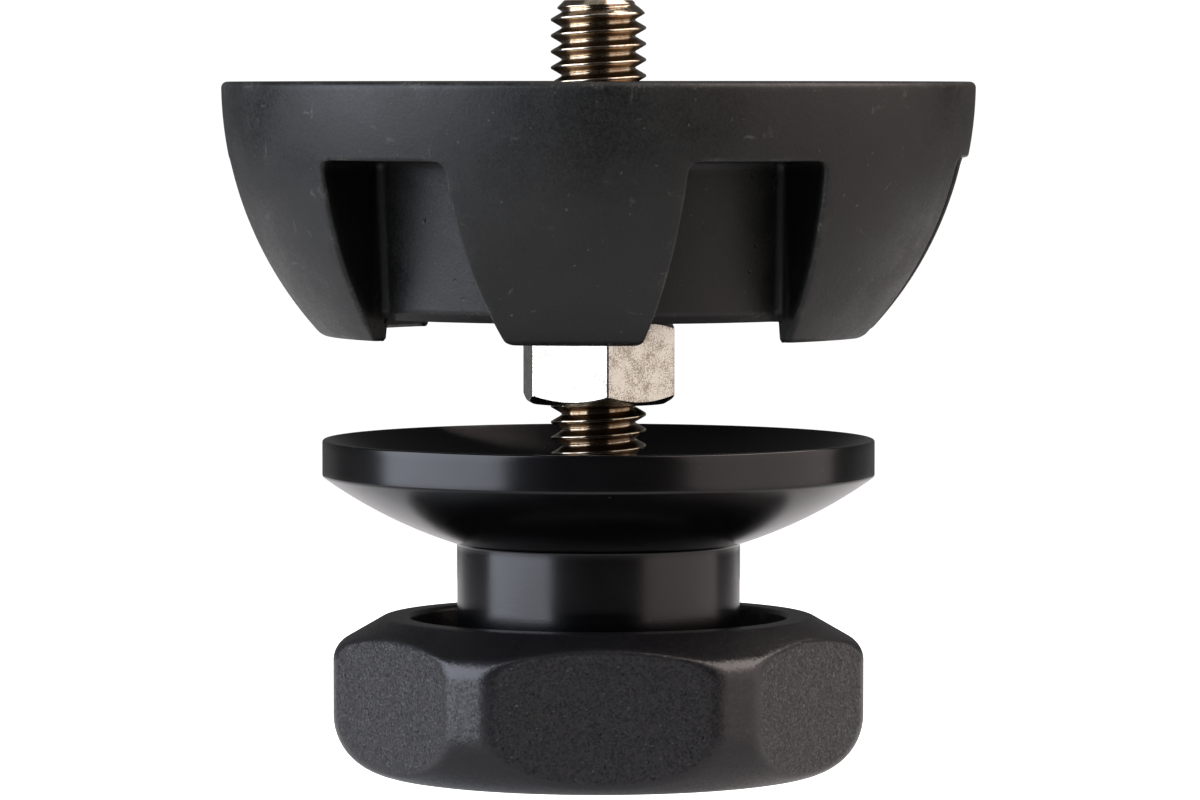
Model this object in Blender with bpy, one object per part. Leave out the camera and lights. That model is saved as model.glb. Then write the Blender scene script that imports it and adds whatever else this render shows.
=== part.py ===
"""Half ball adapter for a 75 mm tripod bowl.

A cast half ball sits in the bowl and carries a camera head on its 3/8"-16 stud. Below the bowl, a cupped
clamp dish is drawn up the same stud by a hexagonal tie-down knob. The dish swivels on a thrust washer, so
it stays still against the bowl while the knob turns.

Metres, +Z up. The origin is at the middle of the knob's base, on the axis of the stud. The adapter is
drawn standing on its knob, with the clamp open, and the middle of one lobe of the ball points to -Y.
"""
import math

import bmesh
import bpy
from mathutils import Matrix

MM = 0.001

# Running and seating clearance between neighbouring pieces
FIT_GAP = 0.3 * MM

# Stud and lock nut, 3/8"-16 UNC
STUD_RADIUS = 4.7625 * MM
STUD_ABOVE_BALL = 8.1 * MM
STUD_LENGTH = 66.0 * MM
STUD_CHAMFER = 1.0 * MM
NUT_ACROSS_FLATS = 14.29 * MM
NUT_HEIGHT = 8.6 * MM
NUT_CHAMFER_RADIUS = 6.6 * MM
NUT_CHAMFER_SLOPE = math.radians(30)
NUT_TURN = math.radians(10.65)

# Half ball: outer shell
BALL_RADIUS = 37.6 * MM
BALL_HEIGHT = 25.2 * MM
BALL_TOP_ROUND = 0.6 * MM
FOOT_ROUND = 0.6 * MM
FOOT_WIDTH = 1.4 * MM
FOOT_INNER_ROUND = 0.3 * MM
BORE_CHAMFER = 0.4 * MM

# Half ball: hub and pockets between the lobes
LOBES = 6
POCKET_DEPTH = 7.5 * MM
POCKET_WIDTH_TOP = 14.3 * MM
POCKET_WIDTH_FOOT = 15.4 * MM
POCKET_ROUND = 0.8 * MM
HUB_RADIUS_TOP = 27.7 * MM
HUB_RADIUS_FOOT = 26.3 * MM
HUB_CHAMFER = 0.9 * MM
FOOT_DROP = 2.0 * MM

# Distance between the ball's feet and the dish's crest, with the clamp open
CLAMP_OPENING = 10.47 * MM

# Clamp dish: a cup of two concentric spheres on a round neck
DISH_RIM_RADIUS = 27.6 * MM
DISH_INNER_SPHERE = 43.9 * MM
DISH_WALL = 3.2 * MM
DISH_CREST_WIDTH = 0.5 * MM
DISH_RIM_ROUND = 0.4 * MM
NECK_RADIUS = 14.15 * MM
NECK_FILLET = 0.8 * MM
NECK_CHAMFER = 0.6 * MM
NECK_LENGTH = 10.8 * MM
DISH_POCKET_RADIUS = 11.5 * MM
DISH_LEDGE_HEIGHT = 9.4 * MM

# Flanged bush in the dish, washer under it
BUSH_WALL = 1.5 * MM
BUSH_FLANGE_RADIUS = 11.2 * MM
BUSH_FLANGE_THICKNESS = 1.2 * MM
WASHER_THICKNESS = 1.5 * MM
WASHER_RADIUS = 13.7 * MM

# Hexagonal knob
KNOB_HEIGHT = 15.7 * MM
KNOB_ACROSS_FLATS = 47.87 * MM
KNOB_CORNER_RADIUS = 26.55 * MM
KNOB_TURN = math.radians(6.0)
KNOB_BASE_ROUND = 6.0 * MM
KNOB_TOP_SLOPE = math.radians(30)
KNOB_TOP_LAND_RADIUS = 21.4 * MM
KNOB_SHOULDER_ROUND = 2.5 * MM
KNOB_PANEL_ROUND = 0.7 * MM
KNOB_RECESS_RADIUS = 18.8 * MM
KNOB_RECESS_DEPTH = 5.6 * MM
KNOB_RECESS_ROUND = 0.5 * MM

# Threaded sleeve in the knob, held by screws through its flange
SLEEVE_RADIUS = 7.5 * MM
SLEEVE_TOP_CHAMFER = 0.5 * MM
SLEEVE_ABOVE_RING = 0.9 * MM
SLEEVE_FLANGE_RADIUS = 14.0 * MM
SLEEVE_FLANGE_THICKNESS = 3.2 * MM
SLEEVE_FLANGE_INSET = 0.7 * MM
SCREWS = 3
SCREW_CIRCLE_RADIUS = 10.9 * MM
SCREW_RADIUS = 1.5 * MM
SCREW_HEAD_RADIUS = 2.7 * MM
SCREW_HEAD_EDGE = 0.3 * MM
SCREW_LENGTH = 7.5 * MM
SCREW_SOCKET_RADIUS = 1.0 * MM
SCREW_SOCKET_DEPTH = 1.0 * MM

# Retaining ring in the sleeve's groove
RING_THICKNESS = 1.1 * MM
RING_WIDTH = 2.4 * MM
GROOVE_DEPTH = 0.6 * MM
RING_LUG_HEIGHT = 1.1 * MM
RING_LUG_ANGLE = math.radians(14)
RING_OPENING = math.radians(24)
RING_HOLE_RADIUS = 0.55 * MM

# Facets round a full turn
BALL_STEPS = 72
ROUND_STEPS = 60
SMALL_STEPS = 36
SCREW_STEPS = 12

# Heights that follow from the sizes above, from the knob's base upwards
RECESS_FLOOR = KNOB_HEIGHT - KNOB_RECESS_DEPTH
WASHER_BOTTOM = RECESS_FLOOR + FIT_GAP
WASHER_TOP = WASHER_BOTTOM + WASHER_THICKNESS
NECK_BOTTOM = WASHER_TOP + FIT_GAP
LEDGE = NECK_BOTTOM + DISH_LEDGE_HEIGHT
BUSH_BOTTOM = NECK_BOTTOM + FIT_GAP
BUSH_FLANGE_BOTTOM = LEDGE + FIT_GAP
BUSH_TOP = BUSH_FLANGE_BOTTOM + BUSH_FLANGE_THICKNESS
RING_BOTTOM = BUSH_TOP + FIT_GAP
RING_TOP = RING_BOTTOM + RING_THICKNESS
SLEEVE_TOP = RING_TOP + FIT_GAP + SLEEVE_ABOVE_RING
DISH_OUTER_SPHERE = DISH_INNER_SPHERE + DISH_WALL
DISH_CENTRE = NECK_BOTTOM + NECK_LENGTH + math.sqrt(DISH_OUTER_SPHERE**2 - NECK_RADIUS**2)
CREST_RADIUS = DISH_RIM_RADIUS - DISH_CREST_WIDTH
DISH_CREST = DISH_CENTRE - math.sqrt(DISH_INNER_SPHERE**2 - CREST_RADIUS**2)
BALL_FOOT = DISH_CREST + CLAMP_OPENING
BALL_TOP = BALL_FOOT + BALL_HEIGHT
POCKET_TOP = BALL_TOP - POCKET_DEPTH
HUB_FOOT = BALL_FOOT + FOOT_DROP
STUD_TOP = BALL_TOP + STUD_ABOVE_BALL
STUD_BOTTOM = STUD_TOP - STUD_LENGTH
NUT_TOP = HUB_FOOT - FIT_GAP

# Radii that follow from what goes inside
THREAD_BORE = STUD_RADIUS + FIT_GAP
BUSH_BORE = SLEEVE_RADIUS + FIT_GAP
BUSH_RADIUS = BUSH_BORE + BUSH_WALL
DISH_BORE = BUSH_RADIUS + FIT_GAP
KNOB_BORE = SLEEVE_RADIUS + FIT_GAP
FLANGE_POCKET_RADIUS = SLEEVE_FLANGE_RADIUS + FIT_GAP
GROOVE_RADIUS = SLEEVE_RADIUS - GROOVE_DEPTH
RING_INNER = GROOVE_RADIUS + FIT_GAP
RING_OUTER = RING_INNER + RING_WIDTH


def clear_scene():
    for old in list(bpy.data.objects):
        bpy.data.objects.remove(old, do_unlink=True)


def make_material(name, red, green, blue, roughness, metallic):
    material = bpy.data.materials.new(name)
    material.use_nodes = True
    shader = material.node_tree.nodes["Principled BSDF"]
    shader.inputs["Base Color"].default_value = (red, green, blue, 1.0)
    shader.inputs["Roughness"].default_value = roughness
    shader.inputs["Metallic"].default_value = metallic
    return material


def add_object(name, bm, material=None, smooth_angle=math.radians(25)):
    """Puts a bmesh into a new object. Without a material it is a cutter, which isn't part of the model."""
    bmesh.ops.recalc_face_normals(bm, faces=bm.faces)
    mesh = bpy.data.meshes.new(name)
    bm.to_mesh(mesh)
    bm.free()
    mesh.shade_smooth()
    mesh.set_sharp_from_angle(angle=smooth_angle)
    piece = bpy.data.objects.new(name, mesh)
    bpy.context.scene.collection.objects.link(piece)
    if material is None:
        piece.hide_render = True
        piece.display_type = "WIRE"
    else:
        mesh.materials.append(material)
    return piece


def add_boolean(piece, cutter, operation):
    modifier = piece.modifiers.new(cutter.name, "BOOLEAN")
    modifier.operation = operation
    modifier.object = cutter
    modifier.solver = "EXACT"


def round_corner(before, corner, after, radius, steps):
    """Points of the arc that is tangent to both sides of a corner of an outline in the r, z plane."""
    to_before = (before[0] - corner[0], before[1] - corner[1])
    to_after = (after[0] - corner[0], after[1] - corner[1])
    length_before = math.hypot(*to_before)
    length_after = math.hypot(*to_after)
    one = (to_before[0] / length_before, to_before[1] / length_before)
    two = (to_after[0] / length_after, to_after[1] / length_after)
    half = math.acos(max(-1.0, min(1.0, one[0] * two[0] + one[1] * two[1]))) / 2
    tangent = min(radius / math.tan(half), 0.9 * length_before, 0.9 * length_after)
    radius = tangent * math.tan(half)
    middle = (one[0] + two[0], one[1] + two[1])
    scale = radius / math.sin(half) / math.hypot(*middle)
    centre = (corner[0] + middle[0] * scale, corner[1] + middle[1] * scale)
    start = math.atan2(corner[1] + one[1] * tangent - centre[1], corner[0] + one[0] * tangent - centre[0])
    end = math.atan2(corner[1] + two[1] * tangent - centre[1], corner[0] + two[0] * tangent - centre[0])
    sweep = (end - start + math.pi) % (2 * math.pi) - math.pi
    angles = [start + sweep * step / steps for step in range(steps + 1)]
    return [(centre[0] + radius * math.cos(a), centre[1] + radius * math.sin(a)) for a in angles]


def outline(corners):
    """A closed outline from (r, z) corners. A third value is the corner's round, a fourth its steps."""
    points = []
    for index, corner in enumerate(corners):
        before = corners[index - 1]
        after = corners[(index + 1) % len(corners)]
        if len(corner) == 2:
            points.append(corner)
        else:
            steps = corner[3] if len(corner) > 3 else 2
            points += round_corner(before, corner, after, corner[2], steps)
    return points


def sphere_arc(radius, centre, r_start, r_end, steps):
    """Points on the lower half of a sphere, between one distance from the axis and another."""
    start = math.asin(r_start / radius)
    end = math.asin(r_end / radius)
    angles = [start + (end - start) * step / steps for step in range(1, steps)]
    return [(radius * math.sin(a), centre - radius * math.cos(a)) for a in angles]


def turned(points, steps):
    """Turns a closed outline in the r, z plane round the Z axis into a solid."""
    bm = bmesh.new()
    ring = [bm.verts.new((r, 0.0, z)) for r, z in points]
    edges = [bm.edges.new((ring[i - 1], ring[i])) for i in range(len(ring))]
    bmesh.ops.spin(bm, geom=ring + edges, cent=(0, 0, 0), axis=(0, 0, 1), angle=2 * math.pi,
                   steps=steps, use_merge=True)
    bmesh.ops.remove_doubles(bm, verts=bm.verts, dist=MM / 1000)
    return bm


def lofted(loops):
    """Joins equal loops of points into a closed solid, with a face over each end."""
    bm = bmesh.new()
    rings = [[bm.verts.new(point) for point in loop] for loop in loops]
    for lower, upper in zip(rings, rings[1:]):
        for i in range(len(lower)):
            bm.faces.new((lower[i - 1], lower[i], upper[i], upper[i - 1]))
    bm.faces.new(rings[0])
    bm.faces.new(list(reversed(rings[-1])))
    return bm


def hexagon_prism(across_flats, bottom, top, turn):
    """A hexagon with the middle of one flat turned from -Y towards +X by the given angle."""
    radius = across_flats / math.sqrt(3)
    corners = [turn + math.radians(60 * k + 30) for k in range(6)]
    loop = [(radius * math.sin(a), -radius * math.cos(a)) for a in corners]
    return lofted([[(x, y, z) for x, y in loop] for z in (bottom, top)])


def turn_copy(bm, angle):
    bmesh.ops.rotate(bm, verts=bm.verts, cent=(0, 0, 0), matrix=Matrix.Rotation(angle, 3, "Z"))
    return bm


def joined(parts):
    """Puts several separate solids into one bmesh, for a cutter that cuts in several places."""
    bm = bmesh.new()
    for part in parts:
        mesh = bpy.data.meshes.new("joined_piece")
        part.to_mesh(mesh)
        part.free()
        bm.from_mesh(mesh)
        bpy.data.meshes.remove(mesh)
    return bm


def make_pocket(angle):
    """The space between two lobes: parallel sides that open a little downwards, with the hub as its back."""
    outside = BALL_RADIUS + 5 * MM
    below = BALL_FOOT - 2 * MM
    levels = [
        (POCKET_TOP, HUB_RADIUS_TOP),
        (HUB_FOOT + HUB_CHAMFER, HUB_RADIUS_FOOT),
        (HUB_FOOT, HUB_RADIUS_FOOT - HUB_CHAMFER),
        (below, HUB_RADIUS_FOOT - HUB_CHAMFER),
    ]
    back_steps = 8
    loops = []
    for z, hub in levels:
        share = (POCKET_TOP - z) / (POCKET_TOP - BALL_FOOT)
        half = (POCKET_WIDTH_TOP + (POCKET_WIDTH_FOOT - POCKET_WIDTH_TOP) * share) / 2
        reach = math.asin(half / hub)
        back = [reach * (2 * step / back_steps - 1) for step in range(back_steps + 1)]
        loop = [(hub * math.cos(a), hub * math.sin(a), z) for a in back]
        loop += [(outside, half, z), (outside, -half, z)]
        loops.append(loop)
    return turn_copy(lofted(loops), angle)


def make_half_ball(material):
    foot_outer = math.sqrt(BALL_RADIUS**2 - BALL_HEIGHT**2)
    foot_inner = foot_outer - FOOT_WIDTH
    rim = [(BALL_RADIUS, BALL_TOP, BALL_TOP_ROUND)]
    side = sphere_arc(BALL_RADIUS, BALL_TOP, BALL_RADIUS * 0.999, foot_outer, 12)
    corners = [(THREAD_BORE + BORE_CHAMFER, BALL_TOP)]
    corners += rim + side
    corners += [
        (foot_outer, BALL_FOOT, FOOT_ROUND),
        (foot_inner, BALL_FOOT, FOOT_INNER_ROUND, 1),
        (foot_inner, HUB_FOOT),
        (THREAD_BORE, HUB_FOOT),
        (THREAD_BORE, BALL_TOP - BORE_CHAMFER),
    ]
    ball = add_object("half_ball", turned(outline(corners), BALL_STEPS), material)
    first = -math.pi / 2 + math.pi / LOBES
    pockets = [make_pocket(first + 2 * math.pi * k / LOBES) for k in range(LOBES)]
    cutter = add_object("pocket_cutter", joined(pockets))
    bevel = cutter.modifiers.new("pocket_rounds", "BEVEL")
    bevel.width = POCKET_ROUND
    bevel.segments = 2
    bevel.limit_method = "ANGLE"
    bevel.angle_limit = math.radians(60)
    add_boolean(ball, cutter, "DIFFERENCE")


def make_stud(material):
    corners = [
        (0.0, STUD_TOP),
        (STUD_RADIUS - STUD_CHAMFER, STUD_TOP),
        (STUD_RADIUS, STUD_TOP - STUD_CHAMFER),
        (STUD_RADIUS, STUD_BOTTOM + STUD_CHAMFER),
        (STUD_RADIUS - STUD_CHAMFER, STUD_BOTTOM),
        (0.0, STUD_BOTTOM),
    ]
    add_object("stud", turned(corners, SMALL_STEPS), material)


def make_lock_nut(material):
    """A hexagon whose corners are turned off by a flat cone at each end."""
    outer = NUT_ACROSS_FLATS / math.sqrt(3) + MM
    drop = (outer - NUT_CHAMFER_RADIUS) * math.tan(NUT_CHAMFER_SLOPE)
    bottom = NUT_TOP - NUT_HEIGHT
    corners = [
        (THREAD_BORE, NUT_TOP),
        (NUT_CHAMFER_RADIUS, NUT_TOP),
        (outer, NUT_TOP - drop),
        (outer, bottom + drop),
        (NUT_CHAMFER_RADIUS, bottom),
        (THREAD_BORE, bottom),
    ]
    nut = add_object("lock_nut", turned(corners, SMALL_STEPS), material)
    turn = NUT_TURN - math.radians(30)
    prism = add_object("nut_hexagon", hexagon_prism(NUT_ACROSS_FLATS, bottom - MM, NUT_TOP + MM, turn))
    add_boolean(nut, prism, "INTERSECT")


def make_clamp_dish(material):
    rim_bottom = DISH_CENTRE - math.sqrt(DISH_OUTER_SPHERE**2 - DISH_RIM_RADIUS**2)
    neck_top = DISH_CENTRE - math.sqrt(DISH_OUTER_SPHERE**2 - NECK_RADIUS**2)
    pocket_top = DISH_CENTRE - math.sqrt(DISH_INNER_SPHERE**2 - DISH_POCKET_RADIUS**2)
    corners = [
        (DISH_BORE, NECK_BOTTOM),
        (NECK_RADIUS - NECK_CHAMFER, NECK_BOTTOM),
        (NECK_RADIUS, NECK_BOTTOM + NECK_CHAMFER),
        (NECK_RADIUS, neck_top, NECK_FILLET),
    ]
    corners += sphere_arc(DISH_OUTER_SPHERE, DISH_CENTRE, NECK_RADIUS, DISH_RIM_RADIUS, 5)
    corners += [
        (DISH_RIM_RADIUS, rim_bottom, DISH_RIM_ROUND),
        (DISH_RIM_RADIUS, DISH_CREST, DISH_RIM_ROUND),
        (CREST_RADIUS, DISH_CREST),
    ]
    corners += sphere_arc(DISH_INNER_SPHERE, DISH_CENTRE, CREST_RADIUS, DISH_POCKET_RADIUS, 6)
    corners += [
        (DISH_POCKET_RADIUS, pocket_top),
        (DISH_POCKET_RADIUS, LEDGE),
        (DISH_BORE, LEDGE),
    ]
    add_object("clamp_dish", turned(outline(corners), ROUND_STEPS), material)


def make_dish_bush(material):
    corners = [
        (BUSH_BORE, BUSH_BOTTOM),
        (BUSH_RADIUS, BUSH_BOTTOM),
        (BUSH_RADIUS, BUSH_FLANGE_BOTTOM),
        (BUSH_FLANGE_RADIUS, BUSH_FLANGE_BOTTOM),
        (BUSH_FLANGE_RADIUS, BUSH_TOP),
        (BUSH_BORE, BUSH_TOP),
    ]
    add_object("dish_bush", turned(corners, SMALL_STEPS), material)


def make_thrust_washer(material):
    corners = [
        (BUSH_BORE, WASHER_BOTTOM),
        (WASHER_RADIUS, WASHER_BOTTOM),
        (WASHER_RADIUS, WASHER_TOP),
        (BUSH_BORE, WASHER_TOP),
    ]
    add_object("thrust_washer", turned(corners, SMALL_STEPS), material)


def ring_shape():
    """Outline of an external retaining ring: an open band with a lug at each end."""
    opening = -math.pi / 2
    lug_reach = RING_OUTER + RING_LUG_HEIGHT
    start = opening + RING_OPENING / 2
    end = opening + 2 * math.pi - RING_OPENING / 2
    band_steps = 36
    outer = [(lug_reach, start), (lug_reach, start + RING_LUG_ANGLE)]
    first = start + RING_LUG_ANGLE
    last = end - RING_LUG_ANGLE
    outer += [(RING_OUTER, first + (last - first) * step / band_steps) for step in range(band_steps + 1)]
    outer += [(lug_reach, end - RING_LUG_ANGLE), (lug_reach, end)]
    inner = [(RING_INNER, end + (start - end) * step / band_steps) for step in range(band_steps + 1)]
    return [(r * math.cos(a), r * math.sin(a)) for r, a in outer + inner]


def make_retaining_ring(material):
    shape = ring_shape()
    band = lofted([[(x, y, z) for x, y in shape] for z in (RING_BOTTOM, RING_TOP)])
    ring = add_object("retaining_ring", band, material)
    hole_circle = RING_OUTER
    holes = []
    for side in (-1, 1):
        angle = -math.pi / 2 + side * (RING_OPENING + RING_LUG_ANGLE) / 2
        hole = turned([(0.0, RING_BOTTOM - MM), (RING_HOLE_RADIUS, RING_BOTTOM - MM),
                       (RING_HOLE_RADIUS, RING_TOP + MM), (0.0, RING_TOP + MM)], SCREW_STEPS)
        place = (hole_circle * math.cos(angle), hole_circle * math.sin(angle), 0.0)
        bmesh.ops.translate(hole, verts=hole.verts, vec=place)
        holes.append(hole)
    add_boolean(ring, add_object("ring_hole_cutter", joined(holes)), "DIFFERENCE")


def at_screws(make_shape):
    """One shape at each screw's place, as a list of separate solids."""
    shapes = []
    for index in range(SCREWS):
        angle = -math.pi / 2 + 2 * math.pi * index / SCREWS
        shape = make_shape()
        place = (SCREW_CIRCLE_RADIUS * math.cos(angle), SCREW_CIRCLE_RADIUS * math.sin(angle), 0.0)
        bmesh.ops.translate(shape, verts=shape.verts, vec=place)
        shapes.append(shape)
    return shapes


def screw_profile(gap, length, below=0.0):
    """Half section of a countersunk screw with its head down, or with a gap, of the hole that takes it."""
    bottom = SLEEVE_FLANGE_INSET
    neck = bottom + SCREW_HEAD_EDGE + SCREW_HEAD_RADIUS - SCREW_RADIUS
    return [
        (0.0, bottom - below),
        (SCREW_HEAD_RADIUS + gap, bottom - below),
        (SCREW_HEAD_RADIUS + gap, bottom + SCREW_HEAD_EDGE),
        (SCREW_RADIUS + gap, neck),
        (SCREW_RADIUS + gap, bottom + length + gap),
        (0.0, bottom + length + gap),
    ]


def make_knob(material):
    ceiling = SLEEVE_FLANGE_INSET + SLEEVE_FLANGE_THICKNESS + FIT_GAP
    shoulder = KNOB_HEIGHT - (KNOB_CORNER_RADIUS - KNOB_TOP_LAND_RADIUS) * math.tan(KNOB_TOP_SLOPE)
    corners = [
        (FLANGE_POCKET_RADIUS, 0.0),
        (KNOB_CORNER_RADIUS, 0.0, KNOB_BASE_ROUND, 5),
        (KNOB_CORNER_RADIUS, shoulder, KNOB_SHOULDER_ROUND, 4),
        (KNOB_TOP_LAND_RADIUS, KNOB_HEIGHT, KNOB_RECESS_ROUND, 1),
        (KNOB_RECESS_RADIUS, KNOB_HEIGHT, KNOB_RECESS_ROUND, 1),
        (KNOB_RECESS_RADIUS, RECESS_FLOOR),
        (KNOB_BORE, RECESS_FLOOR),
        (KNOB_BORE, ceiling),
        (FLANGE_POCKET_RADIUS, ceiling),
    ]
    knob = add_object("knob", turned(outline(corners), ROUND_STEPS), material)
    prism = hexagon_prism(KNOB_ACROSS_FLATS, -MM, KNOB_HEIGHT + MM, KNOB_TURN)
    add_boolean(knob, add_object("knob_hexagon", prism), "INTERSECT")
    bevel = knob.modifiers.new("panel_rounds", "BEVEL")
    bevel.width = KNOB_PANEL_ROUND
    bevel.segments = 2
    bevel.limit_method = "ANGLE"
    bevel.angle_limit = math.radians(20)
    holes = at_screws(lambda: turned(screw_profile(FIT_GAP, SCREW_LENGTH), SCREW_STEPS))
    add_boolean(knob, add_object("knob_screw_holes", joined(holes)), "DIFFERENCE")


def make_threaded_sleeve(material):
    flange_top = SLEEVE_FLANGE_INSET + SLEEVE_FLANGE_THICKNESS
    corners = [
        (THREAD_BORE, SLEEVE_FLANGE_INSET),
        (SLEEVE_FLANGE_RADIUS, SLEEVE_FLANGE_INSET),
        (SLEEVE_FLANGE_RADIUS, flange_top),
        (SLEEVE_RADIUS, flange_top),
        (SLEEVE_RADIUS, BUSH_TOP),
        (GROOVE_RADIUS, BUSH_TOP),
        (GROOVE_RADIUS, RING_TOP + FIT_GAP),
        (SLEEVE_RADIUS, RING_TOP + FIT_GAP),
        (SLEEVE_RADIUS, SLEEVE_TOP - SLEEVE_TOP_CHAMFER),
        (SLEEVE_RADIUS - SLEEVE_TOP_CHAMFER, SLEEVE_TOP),
        (THREAD_BORE, SLEEVE_TOP),
    ]
    sleeve = add_object("threaded_sleeve", turned(corners, SMALL_STEPS), material)
    below = SLEEVE_FLANGE_INSET
    holes = at_screws(lambda: turned(screw_profile(FIT_GAP, SCREW_LENGTH, below), SCREW_STEPS))
    add_boolean(sleeve, add_object("sleeve_screw_holes", joined(holes)), "DIFFERENCE")


def make_sleeve_screws(material):
    bottom = SLEEVE_FLANGE_INSET
    socket = [(0.0, bottom + SCREW_SOCKET_DEPTH), (SCREW_SOCKET_RADIUS, bottom + SCREW_SOCKET_DEPTH),
              (SCREW_SOCKET_RADIUS, bottom)]
    profile = socket + screw_profile(0.0, SCREW_LENGTH)[1:]
    for number, shape in enumerate(at_screws(lambda: turned(profile, SCREW_STEPS)), start=1):
        add_object(f"sleeve_screw_{number}", shape, material)


def main():
    clear_scene()
    cast = make_material("black_cast_aluminium", 0.022, 0.024, 0.024, 0.5, 0.0)
    nickel = make_material("nickel_plated_steel", 0.62, 0.58, 0.52, 0.22, 1.0)
    anodised = make_material("black_anodised_aluminium", 0.012, 0.012, 0.014, 0.35, 0.0)
    powder = make_material("black_powder_coat", 0.024, 0.023, 0.025, 0.65, 0.0)
    zinc = make_material("zinc_plated_steel", 0.55, 0.56, 0.58, 0.35, 1.0)
    acetal = make_material("natural_acetal", 0.62, 0.6, 0.55, 0.4, 0.0)
    spring = make_material("blackened_steel", 0.03, 0.03, 0.032, 0.4, 1.0)
    make_half_ball(cast)
    make_stud(nickel)
    make_lock_nut(nickel)
    make_clamp_dish(anodised)
    make_dish_bush(acetal)
    make_thrust_washer(acetal)
    make_retaining_ring(spring)
    make_knob(powder)
    make_threaded_sleeve(zinc)
    make_sleeve_screws(spring)


main()
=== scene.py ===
# %% [markdown]
# # A half ball adapter, built up as a lesson
# A half ball adapter levels a camera head on a tripod with a 75 mm bowl. A cast half ball sits in the bowl,
# a threaded stud runs down through it, and a hexagonal knob draws a cupped dish up against the bowl from below.
#
# This file dresses a solid model that is loaded as a fixed frame. Each step says what a piece is on the real
# object, how it could be made and why this way was chosen, and then makes it.

# %% Load the frame
import math
from functools import partial

import bmesh
import bpy
import numpy as np
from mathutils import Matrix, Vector


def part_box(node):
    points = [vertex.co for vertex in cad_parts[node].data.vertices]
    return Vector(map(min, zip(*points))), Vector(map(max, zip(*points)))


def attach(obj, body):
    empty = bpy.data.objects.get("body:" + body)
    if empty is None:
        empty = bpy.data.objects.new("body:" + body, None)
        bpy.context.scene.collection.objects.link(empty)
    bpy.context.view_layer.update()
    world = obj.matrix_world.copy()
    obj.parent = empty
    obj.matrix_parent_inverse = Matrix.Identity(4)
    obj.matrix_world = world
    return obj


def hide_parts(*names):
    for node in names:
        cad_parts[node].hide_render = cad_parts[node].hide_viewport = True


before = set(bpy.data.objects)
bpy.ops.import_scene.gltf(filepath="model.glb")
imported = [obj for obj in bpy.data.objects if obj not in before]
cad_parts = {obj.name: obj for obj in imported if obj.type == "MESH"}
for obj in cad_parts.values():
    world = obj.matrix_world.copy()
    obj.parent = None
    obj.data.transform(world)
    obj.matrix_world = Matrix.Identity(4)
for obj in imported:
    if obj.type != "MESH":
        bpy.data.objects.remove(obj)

MM = 0.001
QUARTER = math.pi / 2
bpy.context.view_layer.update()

# %% [markdown]
# ## From grids of points to meshes
# Almost every piece here was turned, milled or cast, so its surface is a grid: one direction runs round the axis
# and the other runs along the profile. Worked out as whole numpy arrays, such a grid gives clean four-sided
# faces, and every edge can have its true small radius, which is what catches the light on a real part.
#
# A grid whose rows close too is a ring with a hole through it. One whose rows don't close gets a single point
# at each end, on the axis.

# %% Grid helpers
def around(radius, angle, z):
    """Points at a radius, an angle and a height: x = r cos a and y = r sin a. Small arrays stretch to match."""
    radius, angle, z = np.broadcast_arrays(radius, angle, z)
    return np.stack([radius * np.cos(angle), radius * np.sin(angle), z], axis=-1)


def steps(start, stop, count):
    """Values in equal steps from start to stop, without the start, which the rows before already have."""
    return np.linspace(start, stop, count + 1)[1:]


def signed_volume(points, corners):
    """Six times the volume inside triangles: the sum of a . (b x c). It is negative if the faces point inwards."""
    a, b, c = (points[corners[:, k]] for k in range(3))
    return np.einsum("ij,ij->i", a, np.cross(b, c)).sum()


def mesh_from_grid(name, grid, closed_rows):
    """Joins a grid of points, rows by columns by xyz, into a closed mesh whose faces point outwards."""
    rows, columns = grid.shape[:2]
    points = grid.reshape(-1, 3)
    index = np.arange(rows * columns).reshape(rows, columns)
    beside = np.roll(index, -1, axis=1)
    last = rows if closed_rows else rows - 1
    here, there = index[:last], np.roll(index, -1, axis=0)[:last]
    quads = np.stack([here, beside[:last], np.roll(beside, -1, axis=0)[:last], there], axis=-1).reshape(-1, 4)
    fans = np.zeros((0, 3), int)
    if not closed_rows:
        top, bottom = len(points), len(points) + 1
        points = np.vstack([points, grid[0].mean(0), grid[-1].mean(0)])
        fan_top = np.stack([np.full(columns, top), beside[0], index[0]], axis=-1)
        fan_bottom = np.stack([np.full(columns, bottom), index[-1], beside[-1]], axis=-1)
        fans = np.vstack([fan_top, fan_bottom])
    halves = np.vstack([quads[:, [0, 1, 2]], quads[:, [0, 2, 3]], fans])
    if signed_volume(points, halves) < 0:
        quads, fans = quads[:, ::-1], fans[:, ::-1]
    mesh = bpy.data.meshes.new(name)
    mesh.vertices.add(len(points))
    mesh.vertices.foreach_set("co", points.astype(np.float32).ravel())
    mesh.loops.add(quads.size + fans.size)
    mesh.loops.foreach_set("vertex_index", np.concatenate([quads.ravel(), fans.ravel()]).astype(np.int32))
    mesh.polygons.add(len(quads) + len(fans))
    starts = np.concatenate([np.arange(len(quads)) * 4, quads.size + np.arange(len(fans)) * 3])
    mesh.polygons.foreach_set("loop_start", starts.astype(np.int32))
    mesh.update(calc_edges=True)
    mesh.validate()
    return mesh


def add_mark(mesh, name, values):
    """Keeps a value for each point as an attribute that materials can read. Points past the last value get 0."""
    marks = np.zeros(len(mesh.vertices), np.float32)
    marks[:np.size(values)] = np.ravel(values)
    mesh.attributes.new(name, "FLOAT", "POINT").data.foreach_set("value", marks)


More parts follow.
